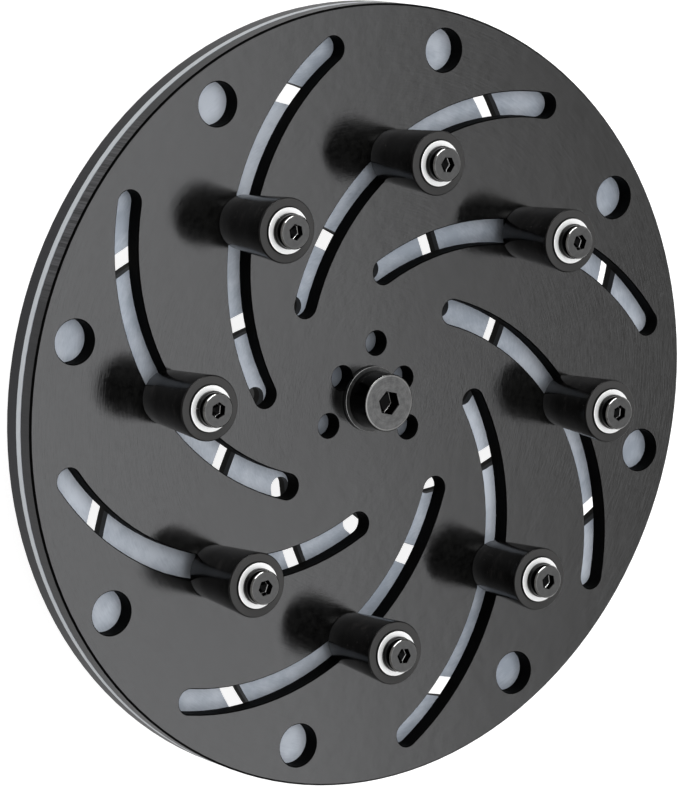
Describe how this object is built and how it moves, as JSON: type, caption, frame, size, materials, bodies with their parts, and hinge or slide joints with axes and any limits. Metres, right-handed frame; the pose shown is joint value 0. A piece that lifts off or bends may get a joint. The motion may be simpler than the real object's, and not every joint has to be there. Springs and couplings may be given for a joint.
{
  "type": "longworth chuck",
  "caption": "Round woodturning chuck of two stacked discs with mirrored arc slots; rubber buffers at the slot crossings move in and out together as the discs turn.",
  "frame": {"origin": "centre of the mounting hub's rear face, on the spindle axis, which is also the lowest point of the chuck lying on its back", "axes": "+Z along the spindle axis towards the buffers; +X through a finger hole of the front disc; right-handed"},
  "size_m": [0.3, 0.3, 0.0844],
  "materials": {
    "disc_front": "satin black anodised",
    "slide": "clear anodised, fine turned",
    "disc_back": "satin black anodised",
    "hub": "black oxide",
    "pivot": "black oxide, flat top",
    "pivot_washer": "black oxide, bright edge",
    "nut_steel": "zinc plated",
    "black_steel": "black oxide",
    "buffer": "moulded, soft sheen",
    "cap": "bright stainless",
    "spring": "black oxide, glossy",
    "screw": "black oxide, glossy side",
    "rear_washer": "zinc plated",
    "lock_nut": "zinc plated"
  },
  "bodies": {
    "back": {"back_disc": "disc_back", "slide_plate": "slide", "mounting_hub": "hub", "pivot_screw": "pivot", "pivot_nut": "nut_steel", "hub_screw_1": "black_steel", "hub_screw_2": "black_steel", "hub_screw_3": "black_steel"},
    "front": {"front_disc": "disc_front"},
    "turn_ring": {"pivot_washer": "pivot_washer"},
    "peg_1": {"buffer_1": "buffer", "cap_washer_1": "cap", "spring_washer_1": "spring", "buffer_screw_1": "screw", "rear_washer_1": "rear_washer", "lock_nut_1": "lock_nut"},
    "peg_2": {"buffer_2": "buffer", "cap_washer_2": "cap", "spring_washer_2": "spring", "buffer_screw_2": "screw", "rear_washer_2": "rear_washer", "lock_nut_2": "lock_nut"},
    "peg_3": {"buffer_3": "buffer", "cap_washer_3": "cap", "spring_washer_3": "spring", "buffer_screw_3": "screw", "rear_washer_3": "rear_washer", "lock_nut_3": "lock_nut"},
    "peg_4": {"buffer_4": "buffer", "cap_washer_4": "cap", "spring_washer_4": "spring", "buffer_screw_4": "screw", "rear_washer_4": "rear_washer", "lock_nut_4": "lock_nut"},
    "peg_5": {"buffer_5": "buffer", "cap_washer_5": "cap", "spring_washer_5": "spring", "buffer_screw_5": "screw", "rear_washer_5": "rear_washer", "lock_nut_5": "lock_nut"},
    "peg_6": {"buffer_6": "buffer", "cap_washer_6": "cap", "spring_washer_6": "spring", "buffer_screw_6": "screw", "rear_washer_6": "rear_washer", "lock_nut_6": "lock_nut"},
    "peg_7": {"buffer_7": "buffer", "cap_washer_7": "cap", "spring_washer_7": "spring", "buffer_screw_7": "screw", "rear_washer_7": "rear_washer", "lock_nut_7": "lock_nut"},
    "peg_8": {"buffer_8": "buffer", "cap_washer_8": "cap", "spring_washer_8": "spring", "buffer_screw_8": "screw", "rear_washer_8": "rear_washer", "lock_nut_8": "lock_nut"}
  },
  "joints": [
    {"name": "front_turn", "type": "hinge", "parent": "back", "child": "front", "pos_m": [0, 0, 0.04487], "axis": [0, 0, 1], "range_deg": [-45, 61]},
    {"name": "ring_turn", "type": "hinge", "parent": "back", "child": "turn_ring", "pos_m": [0, 0, 0.0495], "axis": [0, 0, 1], "range_deg": [-23, 31]},
    {"name": "peg_1_slide", "type": "slide", "parent": "turn_ring", "child": "peg_1", "axis": [0.9893, 0.1461, 0], "range_m": [-0.02926, 0.03959]},
    {"name": "peg_2_slide", "type": "slide", "parent": "turn_ring", "child": "peg_2", "axis": [0.5962, 0.8028, 0], "range_m": [-0.02926, 0.03959]},
    {"name": "peg_3_slide", "type": "slide", "parent": "turn_ring", "child": "peg_3", "axis": [-0.1461, 0.9893, 0], "range_m": [-0.02926, 0.03959]},
    {"name": "peg_4_slide", "type": "slide", "parent": "turn_ring", "child": "peg_4", "axis": [-0.8028, 0.5962, 0], "range_m": [-0.02926, 0.03959]},
    {"name": "peg_5_slide", "type": "slide", "parent": "turn_ring", "child": "peg_5", "axis": [-0.9893, -0.1461, 0], "range_m": [-0.02926, 0.03959]},
    {"name": "peg_6_slide", "type": "slide", "parent": "turn_ring", "child": "peg_6", "axis": [-0.5962, -0.8028, 0], "range_m": [-0.02926, 0.03959]},
    {"name": "peg_7_slide", "type": "slide", "parent": "turn_ring", "child": "peg_7", "axis": [0.1461, -0.9893, 0], "range_m": [-0.02926, 0.03959]},
    {"name": "peg_8_slide", "type": "slide", "parent": "turn_ring", "child": "peg_8", "axis": [0.8028, -0.5962, 0], "range_m": [-0.02926, 0.03959]}
  ],
  "couplings": [
    {"joint": "ring_turn", "follows": "front_turn", "ratio": 0.5},
    {"joint": "peg_1_slide", "follows": "front_turn", "m_per_rad": 0.037},
    {"joint": "peg_2_slide", "follows": "front_turn", "m_per_rad": 0.037},
    {"joint": "peg_3_slide", "follows": "front_turn", "m_per_rad": 0.037},
    {"joint": "peg_4_slide", "follows": "front_turn", "m_per_rad": 0.037},
    {"joint": "peg_5_slide", "follows": "front_turn", "m_per_rad": 0.037},
    {"joint": "peg_6_slide", "follows": "front_turn", "m_per_rad": 0.037},
    {"joint": "peg_7_slide", "follows": "front_turn", "m_per_rad": 0.037},
    {"joint": "peg_8_slide", "follows": "front_turn", "m_per_rad": 0.037}
  ]
}
